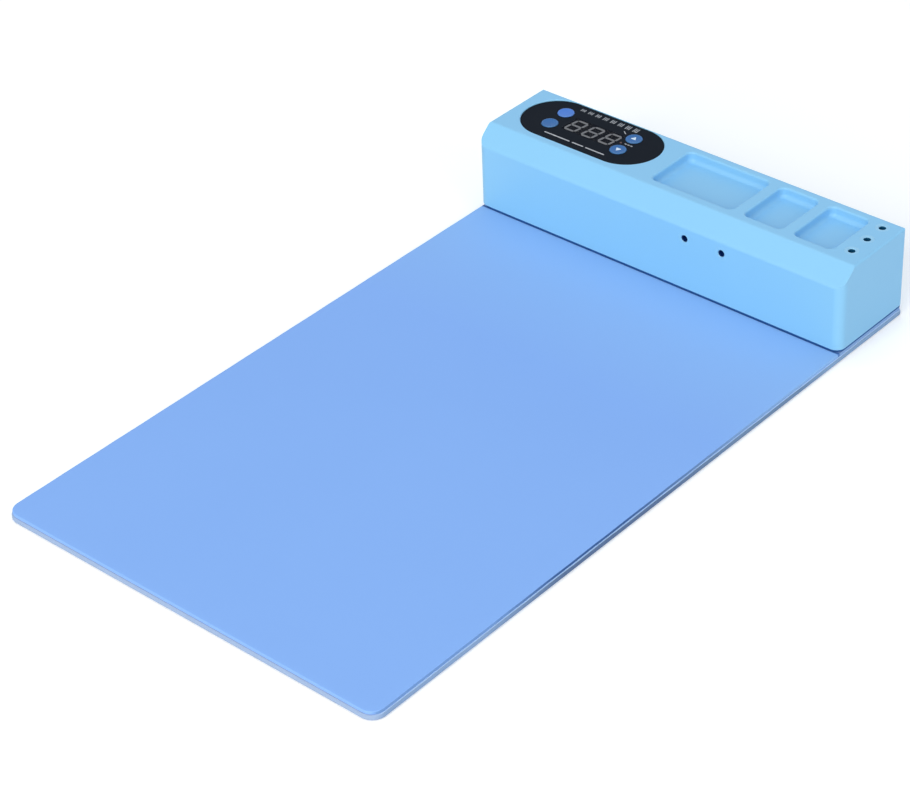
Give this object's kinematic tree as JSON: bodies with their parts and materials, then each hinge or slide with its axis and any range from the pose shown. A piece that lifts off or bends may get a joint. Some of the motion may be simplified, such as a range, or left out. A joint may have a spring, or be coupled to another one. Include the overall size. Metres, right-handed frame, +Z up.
{
  "type": "heated screen separator",
  "caption": "Heated silicone mat for loosening phone screens, with a control housing, display, keys, parts pockets and tool holes across its far end.",
  "frame": {"origin": "centre of the mat's footprint, on the table under it", "axes": "+Z up from the table, +Y from the user's edge back towards the housing, +X along the housing towards the tool holes"},
  "size_m": [0.2025, 0.3499, 0.0444],
  "materials": {
    "pad_silicone": "matte",
    "base_silicone": "matte",
    "gasket_foam": "matte",
    "grommet_rubber": "matte",
    "cover_abs": "satin",
    "sleeve_abs": "satin",
    "panel_film": "gloss",
    "window_acrylic": "gloss",
    "key_plastic": "satin",
    "digit_plastic": "matte",
    "led_resin": "gloss",
    "black_plastic": "satin",
    "module_plastic": "matte",
    "plunger_plastic": "satin",
    "socket_plastic": "satin",
    "relay_plastic": "satin",
    "terminal_plastic": "satin",
    "film_polyimide": "gloss",
    "board_laminate": "satin",
    "felt": "matte",
    "foil_copper": "satin",
    "plate_aluminium": "satin",
    "tray_steel": "zinc-plated",
    "screw_steel": "nickel-plated",
    "standoff_brass": "satin",
    "contact_metal": "nickel-plated",
    "fuse_glass": "clear",
    "live_insulation": "satin",
    "neutral_insulation": "satin",
    "earth_insulation": "satin",
    "heater_insulation": "matte",
    "sensor_insulation": "satin"
  },
  "bodies": {
    "housing": {"base_sheet": "base_silicone", "insulation_felt": "felt", "heater_film": "film_polyimide", "heater_track": "foil_copper", "spreader_plate": "plate_aluminium", "silicone_pad": "pad_silicone", "mat_sensor": "module_plastic", "cover_gasket": "gasket_foam", "chassis_tray": "tray_steel", "lead_grommet": "grommet_rubber", "top_cover": "cover_abs", "tool_sleeves": "sleeve_abs", "wire_sleeves": "cover_abs", "case_screws": "screw_steel", "panel_sheet": "panel_film", "display_window": "window_acrylic", "display_module": "module_plastic", "digit_segments": "digit_plastic", "status_led": "led_resin", "display_board": "board_laminate", "display_board_screws": "screw_steel", "processor": "module_plastic", "key_switches": "module_plastic", "ribbon_cable": "heater_insulation", "ribbon_sockets": "socket_plastic", "main_board": "board_laminate", "board_standoffs": "standoff_brass", "main_board_screws": "screw_steel", "power_module": "module_plastic", "relay": "relay_plastic", "fuse": "fuse_glass", "fuse_clips": "contact_metal", "capacitors": "module_plastic", "terminal_block": "terminal_plastic", "terminal_screws": "screw_steel", "sensor_socket": "socket_plastic", "power_inlet": "black_plastic", "inlet_pins": "contact_metal", "inlet_screws": "screw_steel", "inlet_nuts": "screw_steel", "rocker_frame": "black_plastic", "rocker_tabs": "contact_metal", "live_wires": "live_insulation", "neutral_wire": "neutral_insulation", "earth_wire": "earth_insulation", "earth_terminal": "contact_metal", "heater_leads": "heater_insulation", "sensor_lead": "sensor_insulation"},
    "key_power": {"key_power": "key_plastic", "plunger_power": "plunger_plastic"},
    "key_set": {"key_set": "key_plastic", "plunger_set": "plunger_plastic"},
    "key_up": {"key_up": "key_plastic", "plunger_up": "plunger_plastic"},
    "key_down": {"key_down": "key_plastic", "plunger_down": "plunger_plastic"},
    "rocker": {"rocker": "black_plastic"}
  },
  "joints": [
    {"name": "key_power_press", "type": "slide", "parent": "housing", "child": "key_power", "axis": [0, 0, -1], "range_m": [0, 0.0003], "stiffness_N_per_m": 800, "springref_m": -0.0006},
    {"name": "key_set_press", "type": "slide", "parent": "housing", "child": "key_set", "axis": [0, 0, -1], "range_m": [0, 0.0003], "stiffness_N_per_m": 800, "springref_m": -0.0006},
    {"name": "key_up_press", "type": "slide", "parent": "housing", "child": "key_up", "axis": [0, 0, -1], "range_m": [0, 0.0003], "stiffness_N_per_m": 800, "springref_m": -0.0006},
    {"name": "key_down_press", "type": "slide", "parent": "housing", "child": "key_down", "axis": [0, 0, -1], "range_m": [0, 0.0003], "stiffness_N_per_m": 800, "springref_m": -0.0006},
    {"name": "rocker_swing", "type": "hinge", "parent": "housing", "child": "rocker", "pos_m": [0.018, 0.1715, 0.0235], "axis": [1, 0, 0], "range_deg": [0, 24]}
  ]
}
